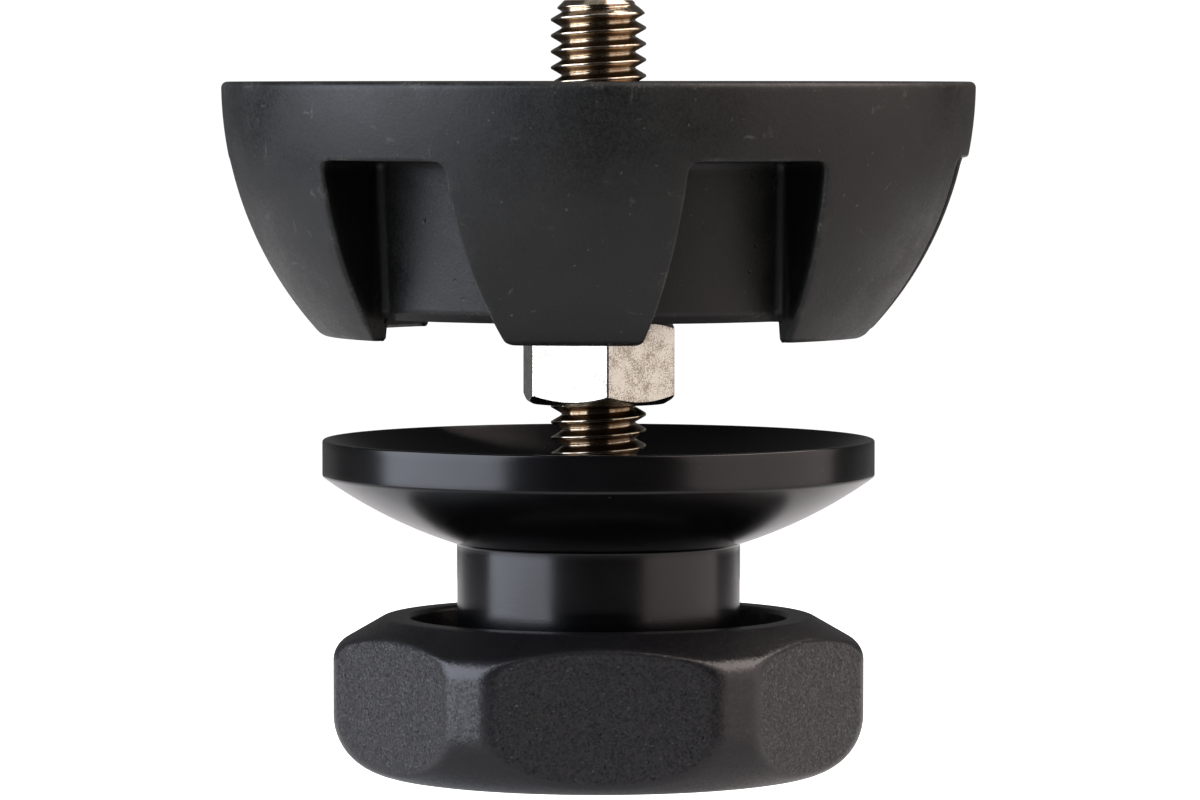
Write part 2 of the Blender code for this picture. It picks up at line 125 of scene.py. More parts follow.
def add_piece(name, grid, closed_rows, body, node, smooth_degrees=40, **marks):
    """Makes a piece in place of a node of the frame, riding on that node's body. Marks are named attributes."""
    mesh = mesh_from_grid(name, grid, closed_rows)
    for mark, values in marks.items():
        add_mark(mesh, mark, values)
    work = bmesh.new()
    work.from_mesh(mesh)
    bmesh.ops.remove_doubles(work, verts=work.verts, dist=0.5e-6)
    bmesh.ops.dissolve_degenerate(work, edges=work.edges, dist=1e-7)
    work.to_mesh(mesh)
    work.free()
    mesh.shade_smooth()
    mesh.set_sharp_from_angle(angle=math.radians(smooth_degrees))
    piece = bpy.data.objects.new(name, mesh)
    bpy.context.scene.collection.objects.link(piece)
    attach(piece, body)
    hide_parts(node)
    print(f"{name}: {len(mesh.polygons)} faces")
    return piece


# %% [markdown]
# ## Profiles with rounded corners
# A turner's drawing gives a profile as straight runs and arcs, with a radius written at each corner. The helper
# below does the same: corners go in as (radius, height, round), and come out as points close enough together
# that the arcs look smooth. Long runs are split as well, so that a hexagon can cut across them cleanly.

# %% Profile helpers
def corner_arc(before, corner, after, radius, arc_steps):
    """Arc tangent to both sides of a corner: its centre lies on the bisector, radius / sin(half angle) away."""
    before, corner, after = (np.array(p[:2], float) for p in (before, corner, after))
    one, two = before - corner, after - corner
    reach = 0.48 * min(np.hypot(*one), np.hypot(*two))
    one, two = one / np.hypot(*one), two / np.hypot(*two)
    half = math.acos(np.clip(one @ two, -1, 1)) / 2
    tangent = min(radius / math.tan(half), reach)
    radius = tangent * math.tan(half)
    middle = (one + two) / np.hypot(*(one + two))
    centre = corner + middle * radius / math.sin(half)
    first, second = corner + one * tangent - centre, corner + two * tangent - centre
    start, end = math.atan2(first[1], first[0]), math.atan2(second[1], second[0])
    sweep = (end - start + math.pi) % (2 * math.pi) - math.pi
    angles = start + sweep * np.linspace(0, 1, arc_steps + 1)
    return np.stack([centre[0] + radius * np.cos(angles), centre[1] + radius * np.sin(angles)], axis=-1)


def profile(corners, longest, arc_steps=6, closed=True, fine_from=0.0):
    """Points along a profile with rounded corners, with no straight run longer than the given length.

    Inside the radius fine_from, where little is seen, a run may be four times as long."""
    points = []
    count = len(corners)
    for k, corner in enumerate(corners):
        inner = closed or 0 < k < count - 1
        if len(corner) > 2 and inner:
            points.append(corner_arc(corners[k - 1], corner, corners[(k + 1) % count], corner[2], arc_steps))
        else:
            points.append(np.array([corner[:2]], float))
    line = np.vstack(points)
    if closed:
        line = np.vstack([line, line[:1]])
    gaps = np.hypot(*np.diff(line, axis=0).T)
    cuts = (gaps / np.where(line[:-1, 0] < fine_from, 4 * longest, longest)).astype(int) + 1
    parts = [line[k] + np.linspace(0, 1, n, endpoint=False)[:, None] * (line[k + 1] - line[k])
             for k, n in enumerate(cuts)]
    return np.vstack(parts if closed else parts + [line[-1:]])


def arc_points(radius, centre, r_start, r_end, arc_steps):
    """The lower side of a sphere round the axis, as (r, z): r = R sin a and z = centre - R cos a."""
    angle = np.linspace(math.asin(r_start / radius), math.asin(r_end / radius), arc_steps + 1)[1:-1]
    return [tuple(p) for p in np.stack([radius * np.sin(angle), centre - radius * np.cos(angle)], axis=-1)]


def turn_round(line, columns):
    """Surface of revolution: each point of the profile goes once round the axis, in so many columns."""
    return around(line[:, :1], np.linspace(0, 2 * math.pi, columns, endpoint=False), line[:, 1:])


# %% [markdown]
# ## Sizes
# The frame gives each piece's box, so the heights below are read from it. The few sizes that a box can't give,
# such as radii of spheres and widths of pockets, are named here in millimetres, as on a drawing.

# %% Sizes
gap = 0.3 * MM
# Round surfaces stay this far inside the frame's boxes
inset = 0.01 * MM
stud_radius = 4.7625 * MM
pitch = 25.4 * MM / 16

ball_foot, ball_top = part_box("half_ball")[0].z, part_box("half_ball")[1].z
ball_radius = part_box("half_ball")[1].x - inset
pocket_top = ball_top - 7.5 * MM
pocket_width_top, pocket_width_foot = 14.3 * MM, 15.4 * MM
hub_foot = ball_foot + 2.0 * MM
hub_radius_top, hub_radius_foot, hub_chamfer = 27.7 * MM, 26.3 * MM, 0.9 * MM

dish_low, dish_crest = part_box("clamp_dish")[0].z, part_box("clamp_dish")[1].z
rim_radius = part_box("clamp_dish")[1].x - inset
crest_radius = rim_radius - 0.5 * MM
inner_sphere, outer_sphere = 43.9 * MM, 47.1 * MM
dish_centre = dish_crest + math.sqrt(inner_sphere**2 - crest_radius**2)
neck_radius = 14.15 * MM

nut_flats, nut_turn = 14.26 * MM, -QUARTER + math.radians(11.8 - 30)
knob_flats, knob_turn = 47.87 * MM, -QUARTER + math.radians(6.0)
knob_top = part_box("knob")[1].z
recess_radius = 18.8 * MM
recess_floor = knob_top - 5.6 * MM
sleeve_bore = 7.8 * MM
print("ball top, dish crest and knob top in mm:", *(round(z / MM, 2) for z in (ball_top, dish_crest, knob_top)))

# %% [markdown]
# ## The half ball
# The real ball is a casting: a sphere cut off flat at both ends, with six pockets round it that save metal and
# clear the ribs of the bowl. Cutting pockets with Booleans works, but it leaves edges that are hard to round
# evenly. Here the ball is stacked from cross-sections instead. At each height the section runs along the hub at
# the back of a pocket, out along the pocket's straight side, round a small corner and along the lobe, and the
# small radii are part of the section. All sections have the same number of points, so they join into one grid.

# %% Half ball, cross-section
HUB, FILLET, WALL, CORNER, LOBE = 12, 6, 9, 6, 12
edge_round = 0.4 * MM
hub_fillet = 0.7 * MM


def section_rows(z, outer, half_width, hub, corner=edge_round, fillet=hub_fillet):
    """Half a pocket and half a lobe, seen from above, from the middle of the pocket (+u) towards +v.

    The hub is a circle round the axis, the side of the pocket is the line v = half width, and the lobe is a
    circle of the outer radius. The fillet touches the hub and the side: its centre is hub + fillet from the
    axis, at v = half width - fillet. The corner's centre is outer - corner from the axis, at v = half width +
    corner. Heights, radii and half widths are arrays with one value for each row, or single values.
    """
    z, outer, half_width, hub = (a[:, None] for a in np.broadcast_arrays(np.atleast_1d(z), outer, half_width, hub))
    fillet_v = half_width - fillet
    fillet_u = np.sqrt((hub + fillet) ** 2 - fillet_v**2)
    touch = np.arctan2(fillet_v, fillet_u)
    corner_v = half_width + corner
    corner_u = np.sqrt((outer - corner) ** 2 - corner_v**2)
    leave = np.arctan2(corner_v, corner_u)
    share = np.linspace(0, 1, HUB, endpoint=False)
    parts = [(hub * np.cos(touch * share), hub * np.sin(touch * share))]
    turn = (touch + math.pi) + (QUARTER - touch - math.pi) * np.linspace(0, 1, FILLET, endpoint=False)
    parts.append((fillet_u + fillet * np.cos(turn), fillet_v + fillet * np.sin(turn)))
    share = np.linspace(0, 1, WALL, endpoint=False)
    parts.append((fillet_u + (corner_u - fillet_u) * share, half_width + 0 * share))
    turn = -QUARTER + (leave + QUARTER) * np.linspace(0, 1, CORNER, endpoint=False)
    parts.append((corner_u + corner * np.cos(turn), corner_v + corner * np.sin(turn)))
    angle = leave + (math.pi / 6 - leave) * np.linspace(0, 1, LOBE)
    parts.append((outer * np.cos(angle), outer * np.sin(angle)))
    u, v = (np.concatenate(values, axis=1) for values in zip(*parts))
    return np.stack([u, v, z + 0 * u], axis=-1)


columns_half = HUB + FILLET + WALL + CORNER + LOBE
first_wall = HUB + FILLET
first_corner = first_wall + WALL
even_angle = np.linspace(0, math.pi / 6, columns_half)
print("points in half a pocket's section:", columns_half)


# %% [markdown]
# Going down the ball, the rows are grouped as a machinist would name the surfaces: the flat top, its round edge,
# the plain band of the sphere, the ceiling of the pockets, their sides, and then the feet, where the hub stops
# short and only the lobes go on down. The last rows cross the underside and come up the bore.

# %% Half ball, rows
def pocket_half_width(z):
    """The pocket opens steadily from its ceiling to the feet."""
    opened = (pocket_top - z) / (pocket_top - ball_foot)
    return (pocket_width_top + (pocket_width_foot - pocket_width_top) * opened) / 2


def hub_radius(z):
    """The hub tapers by its casting draft, from the pockets' ceiling to its chamfer."""
    tapered = (pocket_top - z) / (pocket_top - hub_foot - hub_chamfer)
    return hub_radius_top + (hub_radius_foot - hub_radius_top) * tapered


def sphere_radius(z):
    """The sphere's centre is in the flat top: r = sqrt(R^2 - (top - z)^2)."""
    return np.sqrt(ball_radius**2 - (ball_top - z) ** 2)


def foot_inset(z, radius):
    """How far a quarter round of the given radius draws a foot in at the heights z."""
    low = np.clip((ball_foot + radius - z) / radius, 0, 1)
    return radius * (1 - np.sqrt(1 - low**2))


def circle_rows(radius, z, angle):
    """Rows that are plain circles, one for each radius and height, with the given angles along them."""
    return around(np.reshape(radius, (-1, 1)), angle, np.reshape(z, (-1, 1)))


def blend_rows(start, end, shares):
    """Rows between two rows of points, at the given shares of the way."""
    return start + (end - start) * np.reshape(shares, (-1, 1, 1))


def half_pocket_rows():
    """Half a pocket and half a lobe as rows: circles above the pockets, and below them a section at each height."""
    ceiling_round, top_round, foot_round, side_round = 1.0 * MM, 0.6 * MM, 0.6 * MM, 0.45 * MM
    bore = stud_radius + gap
    # The band above the pockets keeps the angles that the lobe's section ends with, so the rows meet
    ceiling_edge = section_rows(pocket_top, sphere_radius(pocket_top), pocket_half_width(pocket_top) - ceiling_round,
                                hub_radius_top + ceiling_round)[0]
    band_angle = np.arctan2(ceiling_edge[:, 1], ceiling_edge[:, 0])
    band_angle[:first_corner] = band_angle[first_corner] * np.linspace(0, 1, first_corner, endpoint=False)
    bend = np.linspace(0, QUARTER, 7)
    edge_r = sphere_radius(ball_top - top_round) - top_round
    band_z = steps(ball_top - top_round, pocket_top + edge_round, 21)
    rows = [circle_rows(bore + 0.4 * MM, ball_top, even_angle),
            circle_rows(np.linspace(bore + 3 * MM, edge_r, 6)[:-1], ball_top, band_angle),
            circle_rows(edge_r + top_round * np.sin(bend), ball_top - top_round * (1 - np.cos(bend)), band_angle),
            circle_rows(sphere_radius(band_z), band_z, band_angle)]
    # The window's top edge is rounded, and the ceiling runs in from it to the hub
    bend = steps(0, QUARTER, 5)
    lip_rows = circle_rows(sphere_radius(pocket_top + edge_round) - edge_round * (1 - np.cos(bend)),
                           pocket_top + edge_round - edge_round * np.sin(bend), band_angle)
    lobe_z = steps(pocket_top + edge_round, pocket_top, 5)
    lip_rows[:, first_corner:] = circle_rows(sphere_radius(lobe_z), lobe_z, band_angle)[:, first_corner:]
    rows += [lip_rows, blend_rows(lip_rows[-1], ceiling_edge, steps(0, 1, 4))]
    # Below the ceiling its fillet opens out to the pocket's full width
    bend = steps(0, QUARTER, 7)
    z = pocket_top - ceiling_round * (1 - np.cos(bend))
    held_back = ceiling_round * (1 - np.sin(bend))
    rows.append(section_rows(z, sphere_radius(z), pocket_half_width(z) - held_back, hub_radius(z) + held_back))
    z = steps(pocket_top - ceiling_round, hub_foot + hub_chamfer, 39)
    rows.append(section_rows(z, sphere_radius(z), pocket_half_width(z), hub_radius(z)))
    # The hub ends in a chamfer
    share = steps(0, 1, 5)
    z = hub_foot + hub_chamfer * (1 - share)
    rows.append(section_rows(z, sphere_radius(z), pocket_half_width(z), hub_radius_foot - hub_chamfer * share))
    hub_edge = rows[-1][-1]
    # Below it only the lobes go on, down to their rounded feet
    z = np.concatenate([steps(hub_foot, ball_foot + foot_round, 4),
                        ball_foot + foot_round * (1 - np.sin(steps(0, QUARTER, 8)))])
    down = section_rows(z, sphere_radius(z) - foot_inset(z, foot_round),
                        pocket_half_width(z) + foot_inset(z, side_round), hub_radius_foot - hub_chamfer)
    down[:, :first_wall] = hub_edge[:first_wall]
    # The foot's flat, its inner edge and the way back up to the hub's underside
    inner, inner_round = np.hypot(*hub_edge[first_wall, :2]), 0.3 * MM
    start = math.atan2(hub_edge[first_wall, 1], hub_edge[first_wall, 0])
    inner_angle = np.interp(np.arange(columns_half), [first_wall, columns_half - 1], [start, math.pi / 6])
    inner_foot, inner_low, inner_high = circle_rows([inner + inner_round, inner, inner],
                                                    [ball_foot, ball_foot + inner_round, hub_foot], inner_angle)
    back = np.concatenate([blend_rows(down[-1], inner_foot, [0.5, 1]), inner_low[None],
                           blend_rows(inner_low, inner_high, [0.5, 1])])
    back[:, :first_wall] = hub_edge[:first_wall]
    bore_low = circle_rows(bore + 0.2 * MM, hub_foot, even_angle)[0]
    bore_z = np.linspace(hub_foot + 0.2 * MM, ball_top - 0.4 * MM, 5)
    rows += [down, back, blend_rows(back[-1], bore_low, steps(0, 1, 6)), circle_rows(bore, bore_z, even_angle)]
    return np.concatenate(rows)


def all_round(half):
    """Mirrors half a pocket and repeats it six times, with the pockets' middles at 30 degrees from -Y."""
    mirrored = half[:, ::-1] * np.array([1, -1, 1])
    x, y, z = np.moveaxis(np.concatenate([mirrored[:, :-1], half[:, :-1]], axis=1), -1, 0)
    radius, angle = np.hypot(x, y), np.arctan2(y, x)
    return np.concatenate([around(radius, angle + math.pi / 3 * k, z) for k in range(-1, 5)], axis=1)


ball = add_piece("cast_half_ball", all_round(half_pocket_rows()), True, "ball", "half_ball")

# %% [markdown]
# ## The stud's thread
# The stud is 3/8 inch with 16 threads to the inch, rolled at both ends with a plain middle that sits in the ball.
# In the photograph the crests above the ball and those below it don't line up, so each end has its own start. A
# thread could be drawn as a helix with a swept section, but the stud is simpler as one grid round the axis: at any
# angle and height, the radius depends only on how far the point is from the nearest crest, measured along the
# axis. The flanks slope at 30 degrees, the crest is narrow and the root is rounded. The flanks carry painted shade:
# they are painted darker and made duller than crests and roots, so the mesh carries a mark that says where they are.

# %% Thread
thread_depth = 0.675 * pitch
upper_crest = ball_top + 0.57 * MM
lower_crest = ball_top - 33.21 * MM


def smooth_least(a, b, width):
    """The smaller of a and b, with the corner between them rounded over the given width."""
    h = np.clip(0.5 + 0.5 * (b - a) / width, 0, 1)
    return b + (a - b) * h - width * h * (1 - h)


def thread_radius(z, angle, crest_z):
    """Distance from the axis: the nearest crest is at crest_z + pitch * (whole turns + angle / one turn)."""
    turns = (z - crest_z) / pitch - angle / (2 * math.pi)
    from_crest = np.abs(turns - np.round(turns)) * pitch
    depth = (from_crest - pitch / 16) * math.sqrt(3)
    depth = smooth_least(depth, thread_depth, 0.1 * MM)
    depth = -smooth_least(-depth, 0, 0.06 * MM)
    return stud_radius - np.clip(depth, 0, thread_depth)


def stud_grid():
    """At each angle and height, the smaller of the thread's radius and that of a 45 degree cone at either end."""
    low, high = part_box("stud")[0].z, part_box("stud")[1].z
    angle = np.linspace(0, 2 * math.pi, 120, endpoint=False)
    # Close rows where the thread can be seen, wide ones inside the ball, the nut and the sleeve
    plain_high, plain_low = ball_top - 6 * MM, hub_foot + 6 * MM
    borders = np.array([high, ball_top - 1 * MM, plain_high, plain_low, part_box("lock_nut")[0].z + 1 * MM,
                        low + 4 * MM, low])
    rows = ((borders[:-1] - borders[1:]) / pitch * (32, 9, 3, 9, 32, 9)).astype(int)
    z = np.concatenate([*(np.linspace(a, b, n, endpoint=False) for a, b, n in zip(borders, borders[1:], rows)),
                        [low]])[:, None]
    plain = stud_radius - thread_depth / 2
    thread = np.where(z > (ball_foot + ball_top) / 2, thread_radius(z, angle, upper_crest),
                      thread_radius(z, angle, lower_crest))
    end_radius = 3.4 * MM
    cone = end_radius + np.minimum(high - z, z - low)
    r = smooth_least(np.where((z < plain_high) & (z > plain_low), plain, thread), cone + 0 * angle, 0.3 * MM)
    caps = np.array([[0.3], [0.6], [0.9]]) * end_radius + 0 * angle
    z = np.concatenate([np.full((3, 1), high), z, np.full((3, 1), low)])
    return around(np.concatenate([caps, r, caps[::-1]]), angle, z)


def on_flanks(grid):
    """The painted shade's mask: 1 on the flanks, 0 on crests and roots, from each point's depth below the crest. The
    ends stay 0.
    """
    x, y, z = np.moveaxis(grid, -1, 0)
    share = (stud_radius - np.hypot(x, y)) / thread_depth
    flank = np.clip(np.minimum(share - 0.12, 0.9 - share) / 0.08, 0, 1)
    flank[(z > z.max() - 1.2 * MM) | (z < z.min() + 1.2 * MM)] = 0
    return flank


stud_points = stud_grid()
stud = add_piece("threaded_stud", stud_points, False, "ball", "stud", 60, flank=on_flanks(stud_points))

# %% [markdown]
# ## Hexagons with turned corners
# Nut and knob are made alike: a turned blank is milled to six flats. The curved edge where a flat meets the turned
# chamfer is the mark of a real nut, and it comes by itself if each point's radius is the smaller of two: the
# blank's radius at that height, and the distance to the flat at that angle. A soft minimum rounds the edge
# between them, narrowly on the plated nut and more on the powder-coated knob.

# %% Hexagon helpers
def hexagon_radius(across_flats, angle, turn):
    """Distance from the axis to the nearest flat: half the width over the cosine of the angle from its middle."""
    from_middle = (angle - turn + math.pi / 6) % (math.pi / 3) - math.pi / 6
    return across_flats / 2 / np.cos(from_middle)


def hexagon_angles(turn, wide=15, narrow=30, border=18):
    """Angles round a hexagon, closer together near its corners: two spacings that meet at the border angle."""
    half = np.radians([*np.linspace(0, border, wide, endpoint=False), *np.linspace(border, 30, narrow + 1)])
    sector = np.concatenate([-half[:0:-1], half[:-1]])
    return (turn + np.arange(6)[:, None] * math.pi / 3 + sector).ravel()


def hexagon_turned(line, is_outside, across_flats, turn, width):
    """A turned profile whose outer rows are cut to a hexagon. turn is the angle of one flat's middle from +X."""
    angle = hexagon_angles(turn)
    blank = line[:, :1] + 0 * angle
    cut = smooth_least(blank, hexagon_radius(across_flats, angle, turn) + 0 * blank, width)
    return around(np.where(is_outside[:, None], cut, blank), angle, line[:, 1:])


# %% Lock nut
def nut_grid():
    """A bored blank whose chamfers drop by (blank radius - chamfer radius) * tan 30 degrees, cut to six flats."""
    low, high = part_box("lock_nut")[0].z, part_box("lock_nut")[1].z
    blank, chamfer_radius, bore, sink = 8.2 * MM, 6.6 * MM, stud_radius + 0.05 * MM, 0.7 * MM
    drop = (blank - chamfer_radius) * math.tan(math.radians(30))
    corners = [(bore, high - sink), (bore + sink, high), (chamfer_radius, high, 0.15 * MM), (blank, high - drop),
               (blank, low + drop), (chamfer_radius, low, 0.15 * MM), (bore + sink, low), (bore, low + sink)]
    line = profile(corners, 0.12 * MM, 4, fine_from=bore + sink)
    return hexagon_turned(line, line[:, 0] > bore + sink + 0.05 * MM, nut_flats, nut_turn, 0.08 * MM)


nut = add_piece("plated_lock_nut", nut_grid(), True, "ball", "lock_nut")

# %% [markdown]
# ## The clamp dish
# The dish is turned from one bar: a cup between two spheres with one centre, a rim with a short upright band, and
# a round neck that runs down into the knob. A turned part needs only its profile, taken once round the axis.

# %% Clamp dish
def dish_line():
    """The dish's profile. A sphere R meets the radius r at the height centre - sqrt(R^2 - r^2)."""
    rim_low = dish_centre - math.sqrt(outer_sphere**2 - rim_radius**2)
    neck_top = dish_centre - math.sqrt(outer_sphere**2 - neck_radius**2)
    seat_radius, bore = 11.5 * MM, 9.6 * MM
    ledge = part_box("dish_bush")[1].z - 1.5 * MM
    seat_top = dish_centre - math.sqrt(inner_sphere**2 - seat_radius**2)
    corners = [(bore, dish_low, 0.3 * MM), (neck_radius, dish_low, 0.6 * MM), (neck_radius, neck_top, 0.7 * MM),
               *arc_points(outer_sphere, dish_centre, neck_radius, rim_radius, 36),
               (rim_radius, rim_low, 0.35 * MM), (rim_radius, dish_crest, 0.3 * MM),
               (crest_radius, dish_crest, 0.2 * MM),
               *arc_points(inner_sphere, dish_centre, crest_radius, seat_radius, 36),
               (seat_radius, seat_top, 0.3 * MM), (seat_radius, ledge), (bore, ledge, 0.2 * MM)]
    return profile(corners, 0.6 * MM)


dish = add_piece("turned_dish", turn_round(dish_line(), 256), True, "dish", "clamp_dish", 35)

# %% [markdown]
# ## The tie-down knob
# The knob is the largest hexagon: about 48 mm across its flats, with a recess on top for the neck of the dish and
# a wide round at its lower edge, where fingers close on it. The thick coat softens every edge.

# %% Knob
def knob_line():
    """The knob's profile. Its top cone drops by (corner radius - land radius) * tan 30 degrees."""
    corner_radius, land_radius = 26.54 * MM, 21.4 * MM
    shoulder = knob_top - (corner_radius - land_radius) * math.tan(math.radians(30))
    pocket_radius, pocket_ceiling = 14.3 * MM, 4.2 * MM
    corners = [(pocket_radius, 0.0, 0.3 * MM), (corner_radius, 0.0, 6.0 * MM), (corner_radius, shoulder, 2.5 * MM),
               (land_radius, knob_top, 1.5 * MM), (recess_radius, knob_top, 0.5 * MM),
               (recess_radius, recess_floor, 0.4 * MM), (sleeve_bore, recess_floor), (sleeve_bore, pocket_ceiling),
               (pocket_radius, pocket_ceiling)]
    return profile(corners, 0.35 * MM, 14, fine_from=recess_radius + 0.1 * MM)


def on_flats(line):
    """1 on the milled flats and 0 on the turned surfaces: how far the blank stands out past the flat."""
    past = line[:, :1] - hexagon_radius(knob_flats, hexagon_angles(knob_turn), knob_turn)
    return np.clip((past - 0.3 * MM) / (0.2 * MM), 0, 1)


knob_profile = knob_line()
knob_outside = knob_profile[:, 0] > recess_radius + 0.6 * MM
knob_points = hexagon_turned(knob_profile, knob_outside, knob_flats, knob_turn, 0.45 * MM)
knob = add_piece("coated_knob", knob_points, True, "knob", "knob", sand=on_flats(knob_profile))

# %% [markdown]
# ## Small parts inside
# The photograph doesn't show how the dish hangs on the knob, so these parts follow common practice: a steel sleeve
# with the thread, held by three countersunk screws, a plain washer and a flanged bush of acetal for the dish to
# turn on, and a retaining ring. Sleeve and ring are hidden almost wholly, and their solids are fine as they are.

# %% Thrust washer and bush
def washer_line():
    """A rectangle from the bore to the outer radius, with rounded corners."""
    low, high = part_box("thrust_washer")
    outer = high.x - inset
    corners = [(sleeve_bore, low.z), (outer, low.z), (outer, high.z), (sleeve_bore, high.z)]
    return profile([(*corner, 0.2 * MM) for corner in corners], 0.6 * MM)


def bush_line():
    """A sleeve from the bore to the outer radius, with a flange round its top."""
    low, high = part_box("dish_bush")[0].z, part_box("dish_bush")[1].z
    flange, outer, flange_low = 11.19 * MM, 9.3 * MM, high - 1.2 * MM
    return profile([(sleeve_bore, low, 0.2 * MM), (outer, low, 0.3 * MM), (outer, flange_low),
                    (flange, flange_low, 0.2 * MM), (flange, high, 0.25 * MM), (sleeve_bore, high, 0.25 * MM)],
                   0.8 * MM)


washer = add_piece("acetal_washer", turn_round(washer_line(), 160), True, "bearing", "thrust_washer")
bush = add_piece("acetal_bush", turn_round(bush_line(), 160), True, "dish", "dish_bush")

# %% [markdown]
# The screws are turned too, apart from the socket, where the rows are cut to a small hexagon by the same function
# as the nut's. Each one is made at the axis and then moved to its place in the mesh itself, so that the object
# stays at the origin.

# %% Sleeve screws
def screw_grid(node):
    """A hexagon round the socket, and then a profile with a 45 degree head, whose height is its gain in radius."""
    low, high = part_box(node)
    shank, head, socket, depth, chamfer, band = (size * MM for size in (1.5, 2.69, 1.0, 1.0, 0.3, 0.25))
    corners = [(socket + 0.12 * MM, low.z, 0.08 * MM), (head, low.z, 0.1 * MM), (head, low.z + band),
               (shank, low.z + band + head - shank), (shank, high.z - chamfer), (shank - chamfer, high.z)]
    line = profile(corners, 0.15 * MM, 4, closed=False)
    angle = np.linspace(0, 2 * math.pi, 60, endpoint=False)
    wall_z = low.z + depth * np.linspace(1, 0.06, 6)[:, None]
    wall_r = hexagon_radius(2 * socket * 0.97, angle, 0) + 0 * wall_z
    outer = np.concatenate([np.array([[0.4], [0.8]]) * wall_r[:1], wall_r, line[:, :1] + 0 * angle,
                            np.array([[0.6], [0.3]]) * shank + 0 * angle])
    z = np.concatenate([np.full((2, 1), low.z + depth), wall_z, line[:, 1:], np.full((2, 1), high.z)])
    middle = (low + high) / 2
    return around(outer, angle, z) + np.array([middle.x, middle.y, 0])


screws = [add_piece(f"countersunk_screw_{k}", screw_grid(f"sleeve_screw_{k}"), False, "knob", f"sleeve_screw_{k}")
          for k in (1, 2, 3)]

# %% [markdown]
# ## Edges that wear
# The coatings of ball and knob are thin and rubbed on outer corners, so those corners are a little lighter. The
# mesh knows where they are: at a point on an outer corner, the neighbours lie below the tangent plane. That
# curvature is worked out once for each point, softened, and kept as a mark that both coatings read.

# %% Edge mark
def mark_edges(piece, radius=0.6 * MM, passes=3):
    """Curvature at each point, as the mean of -2 n . d / |d|^2 over its edges d, times the radius, 0 to 1."""
    mesh = piece.data
    points, normals = np.empty(len(mesh.vertices) * 3), np.empty(len(mesh.vertices) * 3)
    ends = np.empty(len(mesh.edges) * 2, int)
    mesh.vertices.foreach_get("co", points)
    mesh.vertices.foreach_get("normal", normals)
    mesh.edges.foreach_get("vertices", ends)
    points, normals, ends = points.reshape(-1, 3), normals.reshape(-1, 3), ends.reshape(-1, 2)
    start, stop = np.vstack([ends, ends[:, ::-1]]).T
    step = points[stop] - points[start]
    bend = -2 * np.einsum("ij,ij->i", normals[start], step) / np.maximum(np.einsum("ij,ij->i", step, step), 1e-14)
    count = np.maximum(np.bincount(start, minlength=len(points)), 1)
    edge = np.clip(np.bincount(start, bend, len(points)) / count * radius, 0, 1)
    for _ in range(passes):
        edge = 0.5 * edge + 0.5 * np.bincount(start, edge[stop], len(points)) / count
    add_mark(mesh, "edge", edge)
    print(f"{piece.name}: {np.mean(edge > 0.3):.0%} of its points lie on outer edges")


for piece in (ball, knob):
    mark_edges(piece)

# %% [markdown]
# ## Colours and nodes
# Colours are written as on screen, in sRGB hex, and turned to linear light by one function. Another function adds
# a node, with its settings and its links, so that each material below reads as a list of what it is made of.
# A Map Range node gets a value, the two ends it comes between, and the two ends it is brought between. A Mix node
# gets a share, what shows at 0 and what shows at 1.

# %% Colour and node helpers
def linear(hex_colour):
    """sRGB to linear: c / 12.92 up to 0.04045, and ((c + 0.055) / 1.055) to the power 2.4 above it."""
    srgb = np.array([int(hex_colour[k:k + 2], 16) for k in (1, 3, 5)]) / 255
    return (*np.where(srgb <= 0.04045, srgb / 12.92, ((srgb + 0.055) / 1.055) ** 2.4).tolist(), 1.0)


def add_node(tree, kind, *values, **settings):
    """Adds one node. Its open inputs get the values in order, or by name from one dictionary.

    A value that is a socket is linked, and so is a node, by its first open output. Other values are set, and a
    text is a colour in hex."""
    node = tree.nodes.new("ShaderNode" + kind)
    for setting, value in settings.items():
        setattr(node, setting, value)
    if values and isinstance(values[0], dict):
        pairs = [(node.inputs[name], value) for name, value in values[0].items()]
    else:
        pairs = zip([socket for socket in node.inputs if socket.enabled], values)
    for socket, value in pairs:
        if isinstance(value, bpy.types.Node):
            value = next(output for output in value.outputs if output.enabled)
        if isinstance(value, bpy.types.NodeSocket):
            tree.links.new(value, socket)
        else:
            socket.default_value = linear(value) if isinstance(value, str) else value
    return node


def new_material(name):
    """A material with an empty node tree, the function that adds nodes to it, and the object's coordinates."""
    material = bpy.data.materials.new(name)
    material.use_nodes = True
    material.node_tree.nodes.clear()
    add = partial(add_node, material.node_tree)
    return material, add, add("TexCoord").outputs["Object"]


def per_mm(size_mm):
    """Scale of a texture whose features measure so many millimetres: one metre over that size."""
    return 1 / (size_mm * MM)
